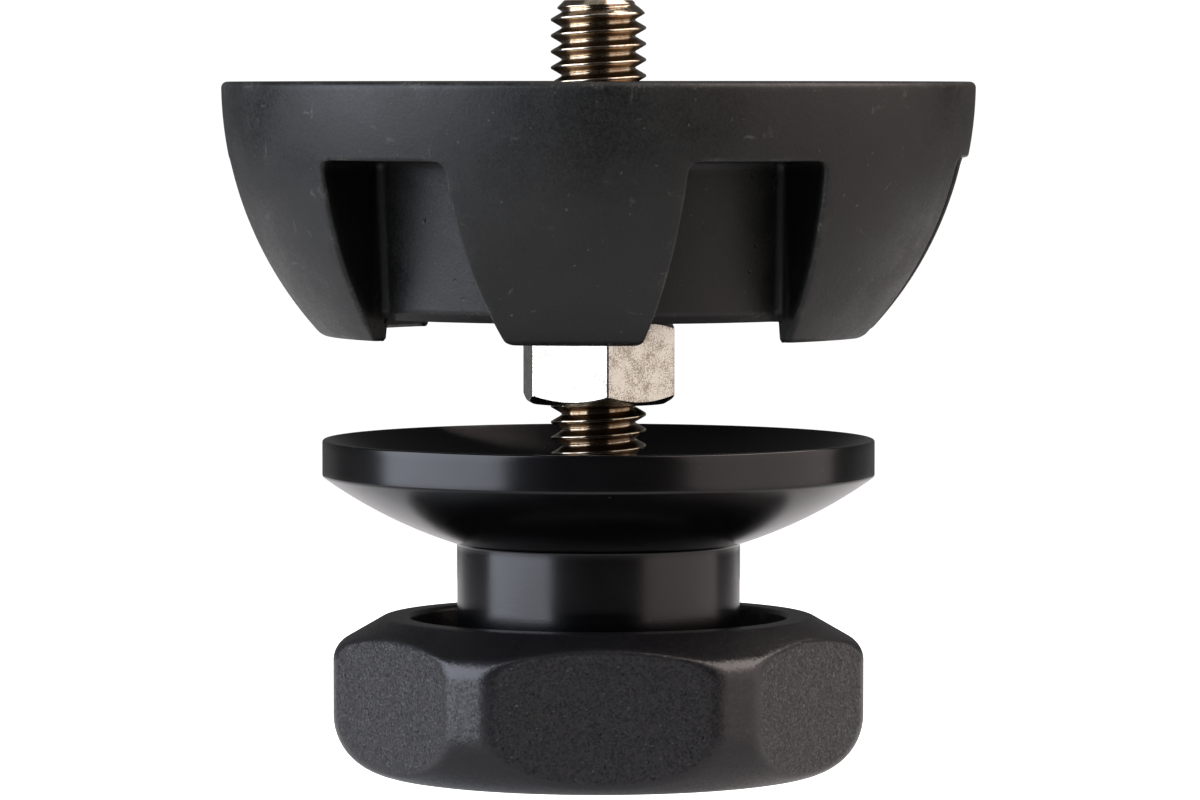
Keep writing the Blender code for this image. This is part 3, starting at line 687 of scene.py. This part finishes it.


# %% [markdown]
# ## Black coated casting
# The ball is die-cast aluminium with a thin matt black coat. The coat hides the metal but not the skin of the
# casting: a fine grain, shallow waves, and a few pores where the metal shrank. Handling adds pale specks and short
# scuffs, and rubs the outer corners grey. The sides of the pockets are painted near black, as painted shade.

# %% Coated casting
def coated_casting():
    """Noise for grain and waves, and cells for dots, lines and pits, each under a mask that says where it shows."""
    material, add, place = new_material("black_coated_casting")
    blotch = add("TexNoise", place, per_mm(6), 4.0, 0.62)
    grain = add("TexNoise", place, per_mm(0.3), 2.0)
    wave = add("TexNoise", place, per_mm(2.5), 3.0)
    bent = add("Mix", 0.0035, place, blotch.outputs["Color"], data_type="VECTOR")
    # Specks: small dots at scattered points, and only at some of them
    dots = add("TexVoronoi", bent, per_mm(1.2))
    near = add("MapRange", dots, 0.13, 0.03)
    chance = add("SeparateColor", dots.outputs["Color"])
    some = add("MapRange", chance, 0.55, 1.2)
    specks = add("Math", near, some, operation="MULTIPLY")
    # Scuffs: thin curved lines between large cells, broken up by a second noise
    cells = add("TexVoronoi", bent, per_mm(8), feature="DISTANCE_TO_EDGE")
    line = add("MapRange", cells, 0.022, 0.0, 0.0, 0.5)
    broken = add("MapRange", wave, 0.6, 0.75)
    scuffs = add("Math", line, broken, operation="MULTIPLY")
    # Rubbed corners, uneven along their length, with the metal showing in dots
    edge = add("Attribute", attribute_name="edge").outputs["Fac"]
    uneven = add("MapRange", wave, 0.48, 0.75)
    rubbed = add("Math", edge, uneven, operation="MULTIPLY")
    chips = add("MapRange", grain, 0.52, 0.66)
    bare = add("Math", rubbed, chips, operation="MULTIPLY")
    # Pores: dark pits in the hub, which cooled last
    from_axis = add("VectorMath", place, (1.0, 1.0, 0.0), operation="MULTIPLY")
    radius = add("VectorMath", from_axis, operation="LENGTH")
    in_hub = add("MapRange", radius, hub_radius_top + 0.9 * MM, hub_radius_top + 0.3 * MM)
    holes = add("TexVoronoi", bent, per_mm(1.5))
    pit = add("MapRange", holes, 0.17, 0.06)
    patch = add("MapRange", wave, 0.46, 0.58)
    porous = add("Math", patch, in_hub, operation="MULTIPLY")
    pores = add("Math", pit, porous, operation="MULTIPLY")
    # The pockets' sides get painted shade: their colour is painted near black, and the coat there is smoother
    from_centre = add("VectorMath", place, (0.0, 0.0, ball_top), operation="DISTANCE")
    deep = add("MapRange", from_centre, ball_radius - 0.4 * MM, ball_radius - 1.2 * MM)
    height = add("SeparateXYZ", place).outputs["Z"]
    lower = add("MapRange", height, pocket_top + 0.2 * MM, pocket_top - 0.2 * MM)
    off_hub = add("Math", 1.0, in_hub, operation="SUBTRACT")
    recessed = add("Math", deep, lower, operation="MULTIPLY")
    pocket_shade_mask = add("Math", recessed, off_hub, operation="MULTIPLY")
    # Colour, from the coat up to what lies on it and in it, and last the painted shade on the pockets' sides
    tone = add("Math", grain, 0.9, blotch, operation="MULTIPLY_ADD")
    mottle = add("MapRange", tone, 0.65, 1.25)
    coat = add("Mix", mottle, "#050606", "#1d1e1b", data_type="RGBA")
    worn = add("Mix", rubbed, coat, "#33332f", data_type="RGBA")
    marks = add("Math", specks, scuffs, operation="MAXIMUM")
    pale = add("Math", marks, bare, operation="MAXIMUM")
    marked = add("Mix", pale, worn, "#6a6a62", data_type="RGBA")
    pitted = add("Mix", pores, marked, "#020202", data_type="RGBA")
    # Painted shade: the pockets' sides are painted near black
    pocket_shaded = add("Mix", pocket_shade_mask, pitted, "#030303", data_type="RGBA")
    # Gloss and relief
    worn_dull = add("MapRange", mottle, 0.0, 1.0, 0.4, 0.6)
    dull = add("Mix", pocket_shade_mask, worn_dull, 0.32)
    fine = add("Bump", {"Height": grain, "Distance": 0.02 * MM})
    skin = add("Bump", {"Height": wave, "Distance": 0.04 * MM, "Normal": fine})
    sunk = add("Bump", {"Height": pores, "Distance": 0.06 * MM, "Normal": skin}, invert=True)
    add("OutputMaterial", add("BsdfPrincipled", {"Base Color": pocket_shaded, "Roughness": dull, "Normal": sunk,
                                                 "Specular IOR Level": 0.5}))
    return material


casting = coated_casting()

# %% [markdown]
# ## Sandy powder coat
# The knob's flats are powder coated with a sandy skin: a thousand tiny slopes, each about a fifth of a millimetre
# wide and tilted its own way, some of which glint. A fine cell pattern with a random tilt for each cell gives just
# that, and a few grains on the flats get a painted glint, a lighter colour. The turned surfaces between the flats
# took the coat more smoothly, so there the tilt is small.

# %% Powder coat
def powder_coat():
    """Each cell's random colour, less a half, times the tilt, leans the normal that way."""
    material, add, place = new_material("sandy_powder_coat")
    sand = add("Attribute", attribute_name="sand").outputs["Fac"]
    edge = add("Attribute", attribute_name="edge").outputs["Fac"]
    grains = add("TexVoronoi", place, per_mm(0.17)).outputs["Color"]
    clumps = add("TexNoise", place, per_mm(0.5), 3.0)
    chance = add("SeparateColor", grains)
    # Relief: each grain leans by its own colour, taken as a direction
    centred = add("VectorMath", grains, (0.5, 0.5, 0.5), operation="SUBTRACT")
    steep = add("MapRange", sand, 0.0, 1.0, 0.12, 0.46)
    tilt = add("VectorMath", centred, steep, operation="SCALE")
    lumpy = add("Bump", {"Height": clumps, "Distance": 0.02 * MM})
    tilted = add("VectorMath", lumpy, tilt, operation="ADD")
    normal = add("VectorMath", tilted, operation="NORMALIZE")
    # Colour, with a painted glint: a few grains on the flats are painted lighter
    spark = add("MapRange", chance.outputs["Blue"], 0.98, 1.0)
    painted_glint = add("Math", spark, sand, operation="MULTIPLY")
    coat = add("Mix", chance, "#060506", "#161517", data_type="RGBA")
    rubbed = add("Math", edge, 0.3, operation="MULTIPLY")
    worn = add("Mix", rubbed, coat, "#303032", data_type="RGBA")
    lit = add("Mix", painted_glint, worn, "#3c3c40", data_type="RGBA")
    # One grain in twenty is smoother and mirrors the lights
    dull = add("MapRange", sand, 0.0, 1.0, 0.33, 0.42)
    smooth = add("MapRange", chance.outputs["Green"], 0.93, 0.97)
    shiny = add("Math", smooth, sand, operation="MULTIPLY")
    gloss = add("Mix", shiny, dull, 0.3)
    add("OutputMaterial", add("BsdfPrincipled", {"Base Color": lit, "Roughness": gloss, "Normal": normal,
                                                 "Specular IOR Level": 0.6}))
    return material


powder = powder_coat()

# %% [markdown]
# ## Black anodised aluminium
# Anodising dyes the skin of turned aluminium and follows it exactly, so the fine rings of the cutting tool stay.
# They are grooves along circles, so the pattern is a noise of only two numbers: distance from the axis and height.

# %% Anodised aluminium
def anodised_aluminium():
    """The rings are a noise of (distance from the axis, height)."""
    material, add, place = new_material("black_anodised_aluminium")
    apart = add("SeparateXYZ", place)
    flat = add("CombineXYZ", apart.outputs["X"], apart.outputs["Y"])
    radius = add("VectorMath", flat, operation="LENGTH")
    ring = add("CombineXYZ", radius, apart.outputs["Z"])
    grooves = add("TexNoise", ring, per_mm(0.12), 2.0, noise_dimensions="2D")
    grain = add("TexNoise", place, per_mm(0.3), 2.0)
    cloud = add("TexNoise", place, per_mm(5), 2.0)
    dull = add("MapRange", cloud, 0.0, 1.0, 0.19, 0.26)
    dye = add("Mix", cloud, "#040405", "#070708", data_type="RGBA")
    # A little dust
    dots = add("TexVoronoi", place, per_mm(2.6))
    near = add("MapRange", dots, 0.05, 0.02)
    dusty = add("Mix", near, dye, "#3a3b3e", data_type="RGBA")
    turned = add("Bump", {"Height": grooves, "Distance": 0.0015 * MM})
    skin = add("Bump", {"Height": grain, "Distance": 0.004 * MM, "Normal": turned})
    add("OutputMaterial", add("BsdfPrincipled", {"Base Color": dusty, "Roughness": dull, "Normal": skin,
                                                 "Specular IOR Level": 0.52}))
    return material


anodised = anodised_aluminium()

# %% [markdown]
# ## Nickel plate
# Stud and nut are steel with a bright, slightly yellow nickel plate. The rolled thread is smooth. The nut's faces
# are rougher, because the plate follows the forged blank. Blackened steel and zinc plate vary in the same way, so
# the hidden parts have them from the same function.

# %% Nickel
def plated_steel(name, grain_mm, depth_mm, roughness, bright, pitted):
    """Metal whose tone and gloss vary in clouds, with pits: its brighter colour and that of the pits."""
    material, add, place = new_material(name)
    grain = add("TexNoise", place, per_mm(grain_mm), 3.0)
    cloud = add("TexNoise", place, per_mm(1.6), 2.0)
    # Pits gather where the cloud is dark
    mixed = add("Math", cloud, 0.65, grain, operation="MULTIPLY_ADD")
    pits = add("MapRange", mixed, 0.89, 0.7)
    tint = add("Mix", pits, bright, pitted, data_type="RGBA")
    dull = add("MapRange", cloud, 0.0, 1.0, roughness - 0.05, roughness + 0.05)
    # Painted shade: the flanks are painted darker. Only the stud's mesh has flanks, and elsewhere the mark is 0
    flank = add("Attribute", attribute_name="flank").outputs["Fac"]
    shade = add("Mix", flank, tint, "#86725a", data_type="RGBA")
    duller = add("Math", flank, 0.1, dull, operation="MULTIPLY_ADD")
    skin = add("Bump", {"Height": grain, "Distance": depth_mm * MM})
    add("OutputMaterial", add("BsdfPrincipled", {"Base Color": shade, "Roughness": duller, "Normal": skin,
                                                 "Metallic": 1.0}))
    return material


stud_nickel = plated_steel("rolled_nickel_plate", 0.4, 0.003, 0.14, "#d8cbb8", "#bfab92")
nut_nickel = plated_steel("forged_nickel_plate", 0.14, 0.0015, 0.2, "#d6d4ca", "#968f84")
blackened = plated_steel("black_oxide_steel", 0.3, 0.008, 0.4, "#3a3a3c", "#2c2c2e")
zinc = plated_steel("turned_zinc_plate", 0.25, 0.006, 0.28, "#cfd1d4", "#b9bcc0")

# %% [markdown]
# ## Acetal
# Bush and washer are turned from natural acetal, a hard white plastic that lets a little light in.

# %% Acetal
def turned_acetal():
    """A soft noise mixes two whites, and light goes about a millimetre deep."""
    material, add, place = new_material("turned_acetal")
    cloud = add("TexNoise", place, per_mm(3), 2.0)
    tint = add("Mix", cloud, "#d9d5ca", "#e8e5dc", data_type="RGBA")
    skin = add("Bump", {"Height": cloud, "Distance": 0.01 * MM})
    add("OutputMaterial", add("BsdfPrincipled", {
        "Base Color": tint, "Normal": skin, "Roughness": 0.4, "Subsurface Weight": 0.2,
        "Subsurface Radius": (1.0 * MM, 1.0 * MM, 0.8 * MM)}))
    return material


acetal = turned_acetal()

# %% Give each piece its material
finishes = {casting: [ball], powder: [knob], anodised: [dish], stud_nickel: [stud], nut_nickel: [nut],
            acetal: [washer, bush], blackened: [*screws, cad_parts["retaining_ring"]],
            zinc: [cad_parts["threaded_sleeve"]]}
for material, pieces in finishes.items():
    for piece in pieces:
        piece.data.materials.clear()
        piece.data.materials.append(material)
    print(f"{material.name}: {len(material.node_tree.nodes)} nodes, pieces: {len(pieces)}")

# %% [markdown]
# ## Studio
# The adapter was photographed on white, in even light. The camera is 631 mm away, level with the top of the ball
# and tipped down by 3 degrees. Those numbers come from fitting a camera to the edges of the ball, the dish and the
# knob in the photograph.

# %% Camera
camera_turn = math.radians(5)
camera_distance = 631 * MM
camera_height = ball_top + 1.34 * MM
camera_tip = math.radians(3.005)
sensor = 36.0
focal_pixels, picture_width = 6323, 1200
off_centre = 1.5


def seen_from(degrees, distance, height):
    """A place at an angle to the right of the camera, seen from above, at a distance from the axis."""
    angle = camera_turn + math.radians(degrees)
    return (distance * math.sin(angle), -distance * math.cos(angle), height)


camera_data = bpy.data.cameras.new("camera")
camera_data.sensor_width = sensor
camera_data.lens = sensor * focal_pixels / picture_width
camera_data.clip_start, camera_data.clip_end = 0.01, 20
camera = bpy.data.objects.new("camera", camera_data)
camera.location = seen_from(0, camera_distance, camera_height)
camera.rotation_euler = (QUARTER - camera_tip, 0, camera_turn - off_centre / focal_pixels)
bpy.context.scene.collection.objects.link(camera)
bpy.context.scene.camera = camera
print("camera lens in mm:", round(camera_data.lens, 1))

# %% [markdown]
# Black parts show little of their own colour and much of the room. The reflections on the round neck tell where
# the lights stood: a large cool softbox on the left, a weaker, warmer one on the right, and a dark room behind the
# camera. Backdrop and floor are a lit white sweep, so the camera sees them as plain white. The knob comes 12.7 mm
# down as it is unscrewed, and the floor lies just below that, so it never hides the knob.

# %% Floor
floor_drop = 13 * MM
side_reach, front_reach, back_reach = 0.25, 0.19, 0.4
across, toward = (Vector(seen_from(degrees, 1.0, 0.0)) for degrees in (90, 0))
corners = [across * x + toward * y for x, y in ((-side_reach, front_reach), (side_reach, front_reach),
                                                (side_reach, -back_reach), (-side_reach, -back_reach))]
floor_mesh = bpy.data.meshes.new("floor")
floor_mesh.from_pydata([tuple(c - Vector((0, 0, floor_drop))) for c in corners], [], [(0, 1, 2, 3)])
floor = bpy.data.objects.new("floor", floor_mesh)
bpy.context.scene.collection.objects.link(floor)

# The sweep glows weakly in front of the adapter and more strongly behind it, so it hardly lights the knob from below
sweep, add, place = new_material("lit_white_sweep")
nearer = add("VectorMath", place, toward, operation="DOT_PRODUCT")
behind = add("MapRange", nearer, 0.04, -0.08, 0.03, 0.42)
glow = add("Math", add("LightPath").outputs["Is Camera Ray"], 0.9, behind, operation="MULTIPLY_ADD")
matt = add("BsdfDiffuse", "#c4c4c4")
lit = add("Emission", "#ffffff", glow)
add("OutputMaterial", add("AddShader", matt, lit))
floor.data.materials.append(sweep)
print(f"floor: {2 * side_reach:.2f} by {front_reach + back_reach:.2f} m")


# %% Lights
def softbox(name, degrees, distance, height, width, tall, brightness, hex_colour, aim=0.04):
    """An area light that faces the adapter. Its power is brightness * pi * area, so brightness is what it shows."""
    data = bpy.data.lights.new(name, "AREA")
    data.shape, data.size, data.size_y = "RECTANGLE", width, tall
    data.energy = brightness * math.pi * width * tall
    data.color = linear(hex_colour)[:3]
    lamp = bpy.data.objects.new(name, data)
    lamp.location = seen_from(degrees, distance, height)
    lamp.rotation_euler = (lamp.location - Vector((0, 0, aim))).to_track_quat("Z", "Y").to_euler()
    bpy.context.scene.collection.objects.link(lamp)
    print(f"{name}: {data.energy:.2f} W")


# Degrees to the right of the camera, then distance, height, width and tallness in metres, brightness and colour.
# The last one aims at the foot of the knob, and the others 40 mm above it.
softbox("left_softbox", -68.5, 0.75, 0.32, 1.01, 0.9, 4.2, "#eaf0ff")
softbox("right_softbox", 74, 0.75, 0.32, 1.36, 0.9, 1.15, "#fff0ea")
softbox("high_right_softbox", 95, 0.45, 0.75, 0.9, 0.6, 3.6, "#fff0ea")
softbox("overhead_softbox", 180, 0.05, 1.1, 0.8, 0.8, 0.25, "#ffffff", 0.0)

# %% [markdown]
# The room is nearly black behind the camera and a little brighter at the sides. Low down behind the adapter it
# carries some of the backdrop's glow. Only the camera itself sees the backdrop as white.

# %% Room
world = bpy.data.worlds.new("studio")
bpy.context.scene.world = world
world.use_nodes = True
world.node_tree.nodes.clear()
add = partial(add_node, world.node_tree)
direction = add("TexCoord").outputs["Generated"]
facing = add("VectorMath", direction, seen_from(0, 1.0, 0.0), operation="DOT_PRODUCT")
front = add("MapRange", facing, 0.5, 0.85, 0.06, 0.02, interpolation_type="SMOOTHSTEP")
back = add("MapRange", facing, -0.6, -0.95, 0.0, 0.07, interpolation_type="SMOOTHSTEP")
low = add("MapRange", add("SeparateXYZ", direction).outputs["Z"], 0.5, 0.1, interpolation_type="SMOOTHSTEP")
level = add("Math", back, low, front, operation="MULTIPLY_ADD")
seen = add("Mix", add("LightPath").outputs["Is Camera Ray"], level, 1.05)
add("OutputWorld", add("Background", "#ffffff", seen))
bpy.context.scene.view_settings.view_transform = "Standard"
print("room:", len(world.node_tree.nodes), "nodes")
